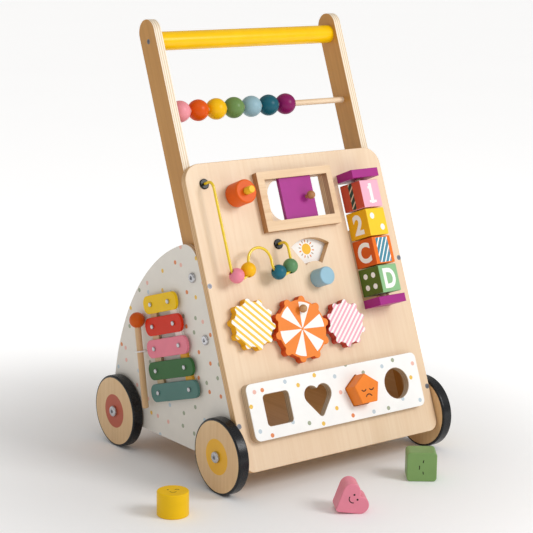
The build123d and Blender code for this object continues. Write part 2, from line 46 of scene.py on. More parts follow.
# ---------------------------------------------------------------- Studio
# A seamless white table under a big soft window at the toy's right front, in a white room.
# The table glows away from the toy, so that it stays white. The camera stands at the toy's
# left front, a little above it.
camera_place = Vector((-1.0334, -1.3479, 0.5770))
camera_heading, camera_dip, camera_roll = (math.radians(a) for a in (37.3554, 11.9859, 0.6481))
camera_lens = 111.1
forward = Vector((math.sin(camera_heading) * math.cos(camera_dip),
                  math.cos(camera_heading) * math.cos(camera_dip), -math.sin(camera_dip)))
level = Vector((math.cos(camera_heading), -math.sin(camera_heading), 0))
upright = level.cross(forward)
right = level * math.cos(camera_roll) + upright * math.sin(camera_roll)
upward = upright * math.cos(camera_roll) - level * math.sin(camera_roll)
bpy.ops.object.camera_add()
camera = bpy.context.object
camera.data.lens = camera_lens
camera.data.sensor_width = 36
camera.data.clip_end = 50
camera.matrix_world = Matrix.Translation(camera_place) @ Matrix(
    (right, upward, -forward)).transposed().to_4x4()
bpy.context.scene.camera = camera
bpy.context.scene.view_settings.view_transform = "Standard"


def put(tree, kind, settings=None, sockets=None):
    """Adds a shader node; a socket's value is a number, a colour or another node's output."""
    node = tree.nodes.new("ShaderNode" + kind)
    for name, value in (settings or {}).items():
        setattr(node, name, value)
    for name, value in (sockets or {}).items():
        if isinstance(value, bpy.types.NodeSocket):
            tree.links.new(value, node.inputs[name])
        else:
            node.inputs[name].default_value = value
    return node


def blend(tree, share, first, second):
    """Mixes two colours: a share of 0 gives the first, and 1 gives the second."""
    return put(tree, "Mix", {"data_type": "RGBA"}, {"Factor": share, 6: first, 7: second}).outputs[2]


def blank_material(name, **shader):
    """A new material's tree and its Principled shader, with plain values set on it."""
    material = bpy.data.materials.new(name)
    material.use_nodes = True
    tree = material.node_tree
    principled = tree.nodes["Principled BSDF"]
    for key, value in shader.items():
        principled.inputs[key.replace("_", " ")].default_value = value
    return material, tree, principled


def soft_window(place, aim, width, power):
    """A square area light that faces a point."""
    bpy.ops.object.light_add(type="AREA")
    light = bpy.context.object
    light.data.shape = "RECTANGLE"
    light.data.size, light.data.size_y, light.data.energy = width, width, power
    facing_aim = (aim - place).to_track_quat("-Z", "Y").to_matrix().to_4x4()
    light.matrix_world = Matrix.Translation(place) @ facing_aim


toy_middle = Vector((0, 0, 0.2))
key_from = level * 1.5 - forward * 0.75 + Vector((0, 0, 0.85))
key_width, key_power = 0.7, 17
fill_from = Vector((-0.6, -1.0, 1.9))
fill_width, fill_power = 1.4, 4
soft_window(toy_middle + key_from, toy_middle, key_width, key_power)
soft_window(toy_middle + fill_from, toy_middle, fill_width, fill_power)

room_tint, room_strength = (1.0, 0.985, 0.965, 1), 0.48
world = bpy.data.worlds.new("white_room")
bpy.context.scene.world = world
world.use_nodes = True
room = world.node_tree
room_light = room.nodes["Background"]
room_light.inputs["Color"].default_value = room_tint
room_light.inputs["Strength"].default_value = room_strength
backdrop = room.nodes.new("ShaderNodeBackground")
backdrop.inputs["Color"].default_value = (1, 1, 1, 1)
seen = room.nodes.new("ShaderNodeMixShader")
room.links.new(room.nodes.new("ShaderNodeLightPath").outputs["Is Camera Ray"], seen.inputs[0])
room.links.new(room_light.outputs[0], seen.inputs[1])
room.links.new(backdrop.outputs[0], seen.inputs[2])
room.links.new(seen.outputs[0], room.nodes["World Output"].inputs["Surface"])

glow, glow_least, glow_from, glow_full = 0.5, 0.02, 0.12, 0.7
bpy.ops.mesh.primitive_plane_add(size=30, location=(0, 0, 0))
table = bpy.context.object
table.name = "white_table"
table_material, tree, principled = blank_material("table_white", Roughness=0.8, Emission_Strength=glow,
                                                  Specular_IOR_Level=0.2)
table_place = put(tree, "TexCoord").outputs["Object"]
table_noise = put(tree, "TexNoise", sockets={"Vector": table_place, "Scale": 2.0, "Detail": 2.0})
away = put(tree, "VectorMath", {"operation": "LENGTH"}, {0: table_place}).outputs["Value"]
lit_far = put(tree, "MapRange", {"interpolation_type": "SMOOTHSTEP"},
              {"Value": away, "From Min": glow_from, "From Max": glow_full, "To Min": glow_least,
               "To Max": 1.0}).outputs[0]
tree.links.new(put(tree, "CombineXYZ", sockets={0: lit_far, 1: lit_far, 2: lit_far}).outputs[0],
               principled.inputs["Emission Color"])
table_colour = blend(tree, table_noise.outputs["Fac"], (0.93, 0.93, 0.935, 1), (0.96, 0.96, 0.96, 1))
tree.links.new(table_colour, principled.inputs["Base Color"])
table.data.materials.append(table_material)

# ---------------------------------------------------------------- Front panel
# Birch plywood, 8 mm, clear lacquered. The router leaves the plies showing on every edge.
# Its place and lean also seat the toys that are fixed on it.


def srgb(red, green, blue):
    """A paint colour given as 0 to 255, in linear light."""
    linear = [v / 3294.6 if v < 10.3 else ((v / 255 + 0.055) / 1.055) ** 2.4 for v in (red, green, blue)]
    return (*linear, 1)


panel_lean = math.radians(21.1)
panel_length = 0.3215
panel_thick = 0.008
low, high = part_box("front_panel")
panel_foot = Vector(((low.x + high.x) / 2,
                     high.y - panel_length * math.sin(panel_lean) - panel_thick * math.cos(panel_lean),
                     low.z + panel_thick * math.sin(panel_lean)))
panel_seat = Matrix.Translation(panel_foot) @ Matrix.Rotation(math.pi / 2 - panel_lean, 4, "X")
birch_light, birch_dark = srgb(236, 211, 180), srgb(227, 197, 162)
ply_light, ply_dark = srgb(236, 216, 186), srgb(188, 150, 108)
streak_share = 0.55
ply_pitch = 2.7
square_on = 0.72


def math_node(tree, operation, *values):
    """The result of one sum on numbers or other nodes' outputs."""
    return put(tree, "Math", {"operation": operation}, dict(enumerate(values))).outputs[0]


def group_tree(name, inputs, outputs):
    """An empty node group with its sockets, and its input and output nodes."""
    tree = bpy.data.node_groups.new(name, "ShaderNodeTree")
    for direction, sockets in (("INPUT", inputs), ("OUTPUT", outputs)):
        for socket, kind in sockets.items():
            tree.interface.new_socket(socket, in_out=direction, socket_type="NodeSocket" + kind)
    return tree, tree.nodes.new("NodeGroupInput"), tree.nodes.new("NodeGroupOutput")


def drawn_noise(tree, place, scale, **noise):
    """Noise drawn out along Y, its scale given per millimetre each way."""
    drawn = put(tree, "VectorMath", {"operation": "MULTIPLY"}, {0: place, 1: scale}).outputs[0]
    return put(tree, "TexNoise", sockets={"Vector": drawn, "Scale": 1.0, **noise}).outputs["Fac"]


timber, entry, leave = group_tree("timber_figure", {"Place": "Vector"}, {"Figure": "Float", "Pores": "Float"})
place = entry.outputs["Place"]
streak = drawn_noise(timber, place, (0.30, 0.010, 0.30), Detail=5.0, Roughness=0.6, Distortion=0.4)
cloud = drawn_noise(timber, place, (0.035, 0.0045, 0.035), Detail=3.0, Distortion=0.8)
figure = math_node(timber, "ADD", math_node(timber, "MULTIPLY", streak, streak_share),
                   math_node(timber, "MULTIPLY", cloud, 1 - streak_share))
spread = put(timber, "MapRange", {"clamp": True}, {"Value": figure, 1: 0.36, 2: 0.66}).outputs[0]
pores = drawn_noise(timber, place, (2.4, 0.10, 2.4), Detail=2.0)
timber.links.new(spread, leave.inputs["Figure"])
timber.links.new(pores, leave.inputs["Pores"])

plies, entry, leave = group_tree("ply_layers", {"Place": "Vector", "Depth": "Float", "Face": "Float"},
                                 {"Edge": "Float", "Layer": "Float"})
wobble = put(plies, "TexNoise", sockets={"Vector": entry.outputs["Place"], "Scale": 0.05, "Detail": 2.0})
shifted = math_node(plies, "ADD", entry.outputs["Depth"],
                    math_node(plies, "MULTIPLY", wobble.outputs["Fac"], 0.5))
wave = math_node(plies, "SINE", math_node(plies, "MULTIPLY", shifted, 2 * math.pi / ply_pitch))
layer = put(plies, "MapRange", {"clamp": True}, {"Value": wave, 1: -0.1, 2: 0.7}).outputs[0]
edge = math_node(plies, "LESS_THAN", math_node(plies, "ABSOLUTE", entry.outputs["Face"]), square_on)
plies.links.new(edge, leave.inputs["Edge"])
plies.links.new(layer, leave.inputs["Layer"])


def seated(tree, seat):
    """Object coordinates in millimetres from a seat, and the surface's direction there."""
    coordinates = put(tree, "TexCoord")
    place = put(tree, "Mapping", {"vector_type": "TEXTURE"},
                {"Vector": coordinates.outputs["Object"], "Location": seat.to_translation(),
                 "Rotation": seat.to_euler(), "Scale": (0.001, 0.001, 0.001)}).outputs[0]
    facing = put(tree, "Mapping", {"vector_type": "TEXTURE"},
                 {"Vector": coordinates.outputs["Normal"], "Rotation": seat.to_euler()}).outputs[0]
    return place, facing


def fine_skin(tree, principled, grain, smooth, rough, strength):
    """Lets a fine grain vary the roughness between two values and raise a slight bump."""
    varied = put(tree, "MapRange", sockets={"Value": grain, 3: smooth, 4: rough}).outputs[0]
    tree.links.new(varied, principled.inputs["Roughness"])
    bump = put(tree, "Bump", sockets={"Strength": strength, "Distance": 0.0002, "Height": grain})
    tree.links.new(bump.outputs[0], principled.inputs["Normal"])


def birch_ply(name, light, dark, seat, thick_axis, gloss=0.42, edge_light=ply_light, edge_dark=ply_dark):
    """Lacquered ply: the seat's Y is along the grain, and thick_axis is its axis through the plies."""
    material, tree, principled = blank_material(name, Coat_Weight=0.15, Coat_Roughness=0.3)
    place, facing = seated(tree, seat)
    depth = put(tree, "SeparateXYZ", sockets={0: place}).outputs[thick_axis]
    face = put(tree, "SeparateXYZ", sockets={0: facing}).outputs[thick_axis]
    figure = put(tree, "Group", {"node_tree": timber}, {"Place": place})
    layers = put(tree, "Group", {"node_tree": plies}, {"Place": place, "Depth": depth, "Face": face})
    board = blend(tree, figure.outputs["Figure"], light, dark)
    cut = blend(tree, layers.outputs["Layer"], edge_light, edge_dark)
    tree.links.new(blend(tree, layers.outputs["Edge"], board, cut), principled.inputs["Base Color"])
    fine_skin(tree, principled, figure.outputs["Pores"], gloss - 0.06, gloss + 0.12, 0.12)
    return material


def finish_node(name, material):
    """Gives a CAD node its finish."""
    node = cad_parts[name]
    node.data.materials.clear()
    node.data.materials.append(material)


finish_node("front_panel", birch_ply("panel_birch", birch_light, birch_dark, panel_seat, 2,
                                     edge_light=srgb(220, 180, 128), edge_dark=srgb(192, 146, 94)))

# ---------------------------------------------------------------- Side panels
# Plywood sawn to a half oval, painted cream and printed with small round confetti dots.
# The saw cut round the rim is left bare.
dot_colours = (srgb(224, 132, 74), srgb(236, 190, 72), srgb(160, 168, 142), srgb(192, 206, 214),
               srgb(238, 184, 168))
dot_r = 2.3
cream = srgb(232, 226, 216)

confetti, entry, leave = group_tree("confetti_dots", {"Place": "Vector", "Spacing": "Float",
                                                      "Radius": "Float"}, {"Dot": "Float", "Pick": "Float"})
spacing = entry.outputs["Spacing"]
square = put(confetti, "CombineXYZ", sockets={0: spacing, 1: spacing, 2: 1.0}).outputs[0]
scaled = put(confetti, "VectorMath", {"operation": "DIVIDE"},
             {0: entry.outputs["Place"], 1: square}).outputs[0]
cells = put(confetti, "TexVoronoi", {"voronoi_dimensions": "2D", "feature": "F1"},
            {"Vector": scaled, "Scale": 1.0, "Randomness": 0.72})
reach = math_node(confetti, "DIVIDE", entry.outputs["Radius"], spacing)
confetti.links.new(math_node(confetti, "LESS_THAN", cells.outputs["Distance"], reach), leave.inputs["Dot"])
cell_colour = put(confetti, "SeparateColor", sockets={0: cells.outputs["Color"]})
confetti.links.new(cell_colour.outputs[0], leave.inputs["Pick"])

coat, entry, leave = group_tree("paint_coat", {"Place": "Vector"}, {"Tone": "Float", "Skin": "Float"})
place = entry.outputs["Place"]
tone = put(coat, "TexNoise", sockets={"Vector": place, "Scale": 0.06, "Detail": 4.0}).outputs["Fac"]
skin = put(coat, "TexNoise", sockets={"Vector": place, "Scale": 1.1, "Detail": 3.0}).outputs["Fac"]
spread = put(coat, "MapRange", {"clamp": True}, {"Value": tone, 1: 0.3, 2: 0.7}).outputs[0]
coat.links.new(spread, leave.inputs["Tone"])
coat.links.new(skin, leave.inputs["Skin"])


def palette(tree, pick, colours):
    """Equal steps of colour along a 0 to 1 value."""
    ramp = put(tree, "ValToRGB", sockets={0: pick})
    ramp.color_ramp.interpolation = "CONSTANT"
    for i, colour in enumerate(colours):
        stop = ramp.color_ramp.elements[0] if i == 0 else ramp.color_ramp.elements.new(i / len(colours))
        stop.color = colour
    ramp.color_ramp.elements.remove(ramp.color_ramp.elements[-1])
    return ramp.outputs[0]


def coat_over(tree, principled, place, colour, gloss, depth=0.1, strength=0.08):
    """Lays a colour on the shader with the small unevenness of sprayed paint."""
    layer = put(tree, "Group", {"node_tree": coat}, {"Place": place})
    value = put(tree, "MapRange", sockets={"Value": layer.outputs["Tone"], 3: 1 - depth, 4: 1.0}).outputs[0]
    worn = put(tree, "HueSaturation", sockets={"Color": colour, "Value": value}).outputs[0]
    tree.links.new(worn, principled.inputs["Base Color"])
    fine_skin(tree, principled, layer.outputs["Skin"], gloss - 0.05, gloss + 0.07, strength)


def confetti_paint(name, ground, seat, spacing, bare, inner=None):
    """Painted ply with printed dots, bare edges and, where inner is given, a bare inner face."""
    material, tree, principled = blank_material(name, Coat_Weight=0.1, Coat_Roughness=0.35)
    place, facing = seated(tree, seat)
    dots = put(tree, "Group", {"node_tree": confetti}, {"Place": place, "Spacing": spacing, "Radius": dot_r})
    printed = blend(tree, dots.outputs["Dot"], ground, palette(tree, dots.outputs["Pick"], dot_colours))
    depth = put(tree, "SeparateXYZ", sockets={0: place}).outputs[2]
    face = put(tree, "SeparateXYZ", sockets={0: facing}).outputs[2]
    layers = put(tree, "Group", {"node_tree": plies}, {"Place": place, "Depth": depth, "Face": face})
    if inner:
        figure = put(tree, "Group", {"node_tree": timber}, {"Place": put(
            tree, "Mapping", sockets={"Vector": place, "Rotation": (0, 0, math.pi / 2)}).outputs[0]})
        board = blend(tree, figure.outputs["Figure"], *inner)
        inward = math_node(tree, "LESS_THAN", math_node(tree, "MULTIPLY", face, depth), 0.0)
        printed = blend(tree, inward, printed, board)
    rim = blend(tree, layers.outputs["Layer"], *bare)
    coat_over(tree, principled, place, blend(tree, layers.outputs["Edge"], printed, rim), 0.45, 0.05)
    return material


side_seat = Matrix.Rotation(math.pi / 2, 4, "Z") @ Matrix.Rotation(math.pi / 2, 4, "X")
finish_node("side_panels", confetti_paint("side_cream", cream, side_seat, 21.0, (ply_light, ply_dark),
                                          (srgb(228, 192, 142), srgb(210, 168, 114))))

# ---------------------------------------------------------------- Rails
# Two straight plywood rails screwed behind the panel, their tops sawn to a half round.
# The faces are warm tan veneer and the fronts show the plies.
rail_light, rail_dark = srgb(200, 144, 66), srgb(184, 128, 52)
finish_node("rails", birch_ply("rail_veneer", rail_light, rail_dark, panel_seat, 0,
                               edge_light=srgb(240, 226, 204), edge_dark=srgb(214, 188, 152)))

# ---------------------------------------------------------------- Handle and abacus
# A turned beech handle in glossy yellow, and a plain beech rod with seven turned beads
# that slide on it. The paint on the beads has a soft satin shine.


def coated(name, colour, gloss, depth=0.1, strength=0.08, seat=Matrix.Identity(4), **shader):
    """One colour over a whole piece; the shader's other plain values are given by name."""
    material, tree, principled = blank_material(name, **shader)
    place, _ = seated(tree, seat)
    coat_over(tree, principled, place, colour, gloss, depth, strength)
    return material


def painted(name, colour, gloss=0.36, seat=Matrix.Identity(4), coat_weight=0.06):
    """Sprayed paint over turned or sawn wood."""
    return coated(name, colour, gloss, 0.08, seat=seat, Coat_Weight=coat_weight, Coat_Roughness=0.22,
                  Specular_IOR_Level=0.2)


def beech(name, light, dark, seat, gloss=0.45):
    """Clear lacquered solid wood, its grain along the seat's Y."""
    material, tree, principled = blank_material(name, Coat_Weight=0.1, Coat_Roughness=0.35)
    place, _ = seated(tree, seat)
    figure = put(tree, "Group", {"node_tree": timber}, {"Place": place})
    tree.links.new(blend(tree, figure.outputs["Figure"], light, dark), principled.inputs["Base Color"])
    fine_skin(tree, principled, figure.outputs["Pores"], gloss - 0.05, gloss + 0.1, 0.15)
    return material


across = Matrix.Rotation(-math.pi / 2, 4, "Z")
beech_light, beech_dark = srgb(232, 202, 164), srgb(204, 164, 118)
finish_node("handle_bar", painted("handle_yellow", srgb(254, 200, 0), 0.24, across, 0.15))
finish_node("abacus_rod", beech("rod_beech", srgb(240, 216, 186), srgb(216, 182, 142), across))
bead_colours = (("pink", srgb(240, 152, 162)), ("orange", srgb(228, 88, 0)), ("yellow", srgb(246, 190, 0)),
                ("green", srgb(108, 140, 78)), ("light_blue", srgb(150, 184, 196)),
                ("teal", srgb(20, 92, 108)), ("plum", srgb(134, 18, 92)))
for i, (colour_name, colour) in enumerate(bead_colours):
    finish_node(f"abacus_bead_{i + 1}", painted(colour_name + "_paint", colour))

# ---------------------------------------------------------------- Tray
# Plywood floor and back board between the sides, on a solid beech beam at the rear.
# None of it is painted.
flat_seat = Matrix.Identity(4)
tray_light, tray_dark = srgb(226, 180, 120), srgb(206, 156, 96)
finish_node("tray_floor", birch_ply("tray_birch", tray_light, tray_dark, flat_seat, 2))
finish_node("back_board", birch_ply("back_birch", tray_light, tray_dark, across, 0))
finish_node("rear_beam", beech("beam_beech", beech_light, beech_dark, across))

# ---------------------------------------------------------------- Wheels
# Plywood discs with a painted ring at the hub and a smooth rubber tyre stretched round
# them. Each turns on a domed socket bolt, with a steel washer behind it.
hub_paint_r = 18.8
hubs = {"front_left": srgb(240, 180, 4), "rear_left": srgb(186, 78, 44),
        "front_right": srgb(118, 142, 92), "rear_right": srgb(28, 92, 104)}
disc_light, disc_dark = srgb(234, 198, 150), srgb(219, 180, 130)
washer_r, washer_bore_r, washer_thick, washer_edge, washer_gap = 0.0085, 0.0042, 0.0008, 0.0002, 0.0005
rubber = coated("tyre_rubber", srgb(14, 16, 20), 0.26, 0.25, 0.2, Specular_IOR_Level=0.4)
steel = coated("zinc_steel", srgb(200, 200, 203), 0.26, 0.25, Metallic=1.0)

bpy.ops.mesh.primitive_cylinder_add(vertices=48, radius=washer_r, depth=washer_thick)
first_washer = bpy.context.object
bpy.ops.object.mode_set(mode="EDIT")
bpy.ops.mesh.bevel(offset=washer_edge, segments=2)
bpy.ops.object.mode_set(mode="OBJECT")
bpy.ops.mesh.primitive_cylinder_add(vertices=48, radius=washer_bore_r, depth=5 * washer_thick)
bore = bpy.context.object
cut = first_washer.modifiers.new("bore", "BOOLEAN")
cut.object, cut.operation, cut.solver = bore, "DIFFERENCE", "EXACT"
bpy.context.view_layer.objects.active = first_washer
bpy.ops.object.modifier_apply(modifier="bore")
bpy.data.objects.remove(bore)


def from_axis(tree, split):
    """Distance from the seat's Z axis, given a node that separates the place."""
    squares = [math_node(tree, "POWER", split.outputs[axis], 2.0) for axis in (0, 1)]
    return math_node(tree, "SQRT", math_node(tree, "ADD", *squares))


for corner, colour in hubs.items():
    low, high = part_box("wheel_disc_" + corner)
    middle = (low + high) / 2
    material, tree, principled = blank_material("wheel_" + corner, Coat_Weight=0.15, Coat_Roughness=0.3)
    place, _ = seated(tree, Matrix.Translation(middle) @ side_seat)
    split = put(tree, "SeparateXYZ", sockets={0: place})
    inside = math_node(tree, "LESS_THAN", from_axis(tree, split), hub_paint_r)
    figure = put(tree, "Group", {"node_tree": timber}, {"Place": place})
    wood = blend(tree, figure.outputs["Figure"], disc_light, disc_dark)
    coat_over(tree, principled, place, blend(tree, inside, wood, colour), 0.42, 0.04)
    finish_node("wheel_disc_" + corner, material)
    finish_node("tyre_" + corner, rubber)

    washer = first_washer.copy()
    washer.data = first_washer.data.copy()
    washer.name = "washer_" + corner
    bpy.context.collection.objects.link(washer)
    washer_x = low.x - washer_gap if corner.endswith("right") else high.x + washer_gap
    washer.data.transform(Matrix.Translation((washer_x, middle.y, middle.z))
                          @ Matrix.Rotation(math.pi / 2, 4, "Y"))
    washer.data.materials.append(steel)
    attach(washer, "walker_frame")
bpy.data.objects.remove(first_washer)
finish_node("axle_bolts", steel)
finish_node("side_bolts", steel)
finish_node("wood_screws", coated("screw_zinc", srgb(128, 130, 136), 0.4, 0.3, Metallic=1.0))

# ---------------------------------------------------------------- Shape sorter and blocks
# A painted board with four cut shapes glued over one cut-out in the panel, and four blocks
# that post through it. Small faces are printed on the blocks in dark ink.
dots_shift = (0.009, 0.011, 0)
board_seat = panel_seat @ Matrix.Translation(dots_shift)
finish_node("sorter_board", confetti_paint("board_white", srgb(248, 247, 244), board_seat, 21.5,
                                           (srgb(206, 184, 154), srgb(178, 154, 124))))
finish_node("pentagon_block", painted("pentagon_orange", srgb(244, 134, 42), 0.42))
finish_node("cylinder_block", painted("cylinder_yellow", srgb(248, 198, 10), 0.42))
finish_node("heart_block", painted("heart_pink", srgb(236, 140, 160), 0.42))
finish_node("square_block", painted("square_green", srgb(128, 162, 98), 0.42))
ink = painted("face_ink", srgb(34, 24, 20), 0.6)


def ink_arc(radius, start, sweep, place, width=0.0005):
    """A printed arc in a flat drawing plane: its centre is at place, angles in degrees."""
    bpy.ops.mesh.primitive_circle_add(vertices=72, radius=radius, fill_type="NOTHING")
    arc = bpy.context.object
    bpy.ops.object.mode_set(mode="EDIT")
    bpy.ops.mesh.select_all(action="DESELECT")
    bpy.ops.object.mode_set(mode="OBJECT")
    for vertex in arc.data.vertices:
        angle = (math.degrees(math.atan2(vertex.co.y, vertex.co.x)) - start) % 360
        vertex.select = angle > sweep
    bpy.ops.object.mode_set(mode="EDIT")
    bpy.ops.mesh.delete(type="VERT")
    bpy.ops.object.mode_set(mode="OBJECT")
    bpy.ops.object.convert(target="CURVE")
    arc.data.bevel_depth = width
    arc.data.bevel_resolution = 2
    arc.data.use_fill_caps = True
    bpy.ops.object.convert(target="MESH")
    arc.data.transform(Matrix.Translation((*place, 0)) @ Matrix.Diagonal((1, 1, 0.25, 1)))
    return arc


def ink_dot(radius, place, height=0.0001):
    """A printed disc, height above and below the drawing plane."""
    bpy.ops.mesh.primitive_cylinder_add(vertices=32, radius=radius, depth=2 * height)
    dot = bpy.context.object
    dot.data.transform(Matrix.Translation((*place, 0)))
    return dot


def join_print(name, parts, seat, material, body):
    """Joins the parts of one print, lays it on its face and lets it move with its piece."""
    bpy.ops.object.select_all(action="DESELECT")
    for part in parts:
        part.select_set(True)
    bpy.context.view_layer.objects.active = parts[0]
    if len(parts) > 1:
        bpy.ops.object.join()
    piece = bpy.context.object
    piece.name = name
    bpy.ops.object.mode_set(mode="EDIT")
    bpy.ops.mesh.select_all(action="SELECT")
    bpy.ops.mesh.remove_doubles(threshold=0.000001)
    bpy.ops.mesh.normals_make_consistent(inside=False)
    bpy.ops.object.mode_set(mode="OBJECT")
    piece.data.transform(seat)
    piece.data.materials.clear()
    piece.data.materials.append(material)
    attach(piece, body)
    piece.select_set(False)
    return piece


def on_panel(x, s, h):
    """A seat on the leaning panel, in millimetres across, up and out."""
    return panel_seat @ Matrix.Translation((x / 1000, s / 1000, h / 1000))


pentagon_front = (25.7, 57.6, 24.0)
bold = 0.0006
sad = [ink_arc(0.0032, 200, 140, (x, 0.0030), bold) for x in (-0.0052, 0.0052)]
sad.append(ink_arc(0.0044, 25, 130, (0, -0.0085), bold))
join_print("pentagon_face", sad, on_panel(*pentagon_front), ink, "pentagon")
low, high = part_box("cylinder_block")
wink = [ink_dot(0.0008, (-0.0050, 0.0014)), ink_arc(0.0022, 20, 140, (0.0040, 0.0010)),
        ink_arc(0.0034, 205, 130, (0.0004, -0.0022))]
join_print("cylinder_face", wink, Matrix.Translation(((low.x + high.x) / 2, (low.y + high.y) / 2, high.z))
           @ Matrix.Rotation(-camera_heading, 4, "Z"), ink, "cylinder_on_floor")


def block_front(node, turn, roll, depth=0.0125):
    """The seat on the camera-side face of a block that stands on its edge."""
    low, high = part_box(node)
    middle = (low + high) / 2
    return Matrix.Translation(middle) @ Matrix.Rotation(-math.radians(turn), 4, "Z") @ Matrix.Rotation(
        math.pi / 2, 4, "X") @ Matrix.Translation((0, 0, depth)) @ Matrix.Rotation(roll, 4, "Z")


heart_turn, heart_roll = 30.8, math.radians(-58.5)
square_turn, square_roll = 37.4, math.radians(-90)
smile = [ink_dot(0.0010, (x, 0.0036)) for x in (-0.0030, 0.0030)]
smile.append(ink_arc(0.0042, 205, 130, (0, 0.0006)))
join_print("heart_face", smile, block_front("heart_block", heart_turn, heart_roll), ink, "heart_on_floor")
sleepy = [ink_arc(0.0060, 240, 40, (-0.0052, 0.0072)), ink_arc(0.0060, 260, 40, (0.0052, 0.0072)),
          ink_arc(0.0070, 65, 44, (0, -0.0095))]
join_print("square_face", sleepy, block_front("square_block", square_turn, square_roll), ink,
           "square_on_floor")

# ---------------------------------------------------------------- Sliding door
# A birch ply rim with a hidden groove, and a plum door that slides in it by a small
# turned knob.
door_plum = srgb(170, 48, 140)
finish_node("door_frame", birch_ply("door_frame_birch", srgb(236, 206, 168), srgb(214, 176, 132),
                                    panel_seat @ across, 2, edge_light=srgb(184, 134, 82),
                                    edge_dark=srgb(158, 108, 60)))
finish_node("sliding_door", painted("door_plum", door_plum, 0.4))
finish_node("door_knob", beech("knob_beech", srgb(196, 142, 86), srgb(160, 104, 56), panel_seat))

# ---------------------------------------------------------------- Picture disc and dial
# A white card disc turns behind the fan window: sun, cloud, full moon and flower. The light
# blue knob on the same shaft turns it.
dial_at = (10.0, 185.0)
picture_r = 0.034
card_h = -8.3
card_print = 0.00008
ray_count, ray_r, ray_out, ray_stretch = 14, 0.0007, 0.0088, 2.4
petal_count, petal_r, petal_out = 5, 0.0035, 0.0055
finish_node("picture_disc", coated("picture_card", srgb(248, 248, 246), 0.5, 0.03, seat=panel_seat))
finish_node("dial_knob", painted("dial_light_blue", srgb(150, 190, 208), 0.38))
dial_seat = on_panel(*dial_at, card_h)


def round_print(radius, x, y):
    """A flat disc printed on the card."""
    return ink_dot(radius, (x, y), card_print)


sun_yellow = painted("sun_yellow", srgb(250, 196, 60), 0.5)
ray_orange = painted("ray_orange", srgb(232, 140, 70), 0.5)
ray_grey = painted("ray_grey", srgb(190, 176, 160), 0.5)
join_print("sun", [round_print(0.0060, 0, picture_r)], dial_seat, sun_yellow, "dial")
rays = {0: [], 1: []}
for i in range(ray_count):
    ray = round_print(ray_r, 0, 0)
    ray.data.transform(Matrix.Translation((0, picture_r, 0))
                       @ Matrix.Rotation(2 * math.pi * i / ray_count, 4, "Z")
                       @ Matrix.Translation((0, ray_out, 0)) @ Matrix.Diagonal((1, ray_stretch, 1, 1)))
    rays[i % 2].append(ray)
join_print("sun_rays_orange", rays[0], dial_seat, ray_orange, "dial")
join_print("sun_rays_grey", rays[1], dial_seat, ray_grey, "dial")
cloud_parts = [round_print(r, x, picture_r + y) for r, x, y in (
    (0.0055, -0.006, 0), (0.0070, 0.001, 0.002), (0.0050, 0.0085, -0.0005))]
join_print("cloud", cloud_parts, dial_seat @ Matrix.Rotation(math.pi / 2, 4, "Z"),
           painted("cloud_blue", srgb(170, 196, 208), 0.5), "dial")
join_print("full_moon", [round_print(0.0075, 0, picture_r)], dial_seat @ Matrix.Rotation(math.pi, 4, "Z"),
           painted("moon_mustard", srgb(226, 182, 84), 0.5), "dial")
petals = []
for i in range(petal_count):
    angle = i * 2 * math.pi / petal_count
    petals.append(round_print(petal_r, petal_out * math.cos(angle), picture_r + petal_out * math.sin(angle)))
join_print("flower", petals, dial_seat @ Matrix.Rotation(-math.pi / 2, 4, "Z"),
           painted("flower_pink", srgb(236, 160, 172), 0.5), "dial")

# ---------------------------------------------------------------- Gears
# Three plywood gears with round teeth that turn together. Their faces are printed with
# stripes or white wedges, and their rims are painted a deeper tone.
gear_front, print_depth = 10.0, 0.35
yellow_at, orange_at, pink_at = (-91.3, 147.6), (-31.4, 134.2), (28.1, 132.2)
wedge_centre, wedge_width, wedge_pitch, wedge_low_r, wedge_r = 11.5, 29.0, 60.0, 1.5, 28.8
print_white = srgb(250, 247, 242)
print_shader = {"Specular_IOR_Level": 0.25, "Coat_Weight": 0.04, "Coat_Roughness": 0.3}


def front_mask(tree, place):
    """1 on a gear's printed front, and 0 elsewhere."""
    height = put(tree, "SeparateXYZ", sockets={0: place}).outputs[2]
    return math_node(tree, "GREATER_THAN", height, gear_front - print_depth)


def striped_gear(name, colour, rim, centre, turn, period, share):
    """Stripes run along the seat's Y once it is turned by turn degrees."""
    material, tree, principled = blank_material(name, **print_shader)
    place, _ = seated(tree, on_panel(*centre, 0) @ Matrix.Rotation(math.radians(turn), 4, "Z"))
    sideways = put(tree, "SeparateXYZ", sockets={0: place}).outputs[0]
    step = math_node(tree, "FRACT", math_node(tree, "DIVIDE", sideways, period))
    top = blend(tree, math_node(tree, "LESS_THAN", step, share), print_white, colour)
    whole = blend(tree, front_mask(tree, place), rim, top)
    coat_over(tree, principled, place, whole, 0.42, 0.05)
    return material


finish_node("gear_yellow", striped_gear("gear_yellow_stripes", srgb(248, 200, 70), srgb(240, 176, 6),
                                        yellow_at, 45, 6.2, 0.44))
finish_node("gear_pink", striped_gear("gear_pink_stripes", srgb(242, 172, 190), srgb(196, 70, 52),
                                      pink_at, -45, 4.7, 0.48))
material, tree, principled = blank_material("gear_orange_wedges", **print_shader)
place, _ = seated(tree, on_panel(*orange_at, 0))
split = put(tree, "SeparateXYZ", sockets={0: place})
angle = math_node(tree, "ARCTAN2", split.outputs[1], split.outputs[0])
shifted = math_node(tree, "ADD", math_node(tree, "MULTIPLY", angle, 180 / math.pi),
                    2 * 360 - wedge_centre + wedge_width / 2)
wedge = math_node(tree, "LESS_THAN", math_node(tree, "MODULO", shifted, wedge_pitch), wedge_width)
radius = from_axis(tree, split)
ring = math_node(tree, "MULTIPLY", math_node(tree, "LESS_THAN", radius, wedge_r),
                 math_node(tree, "GREATER_THAN", radius, wedge_low_r))
top = blend(tree, math_node(tree, "MULTIPLY", wedge, ring), srgb(242, 134, 46), print_white)
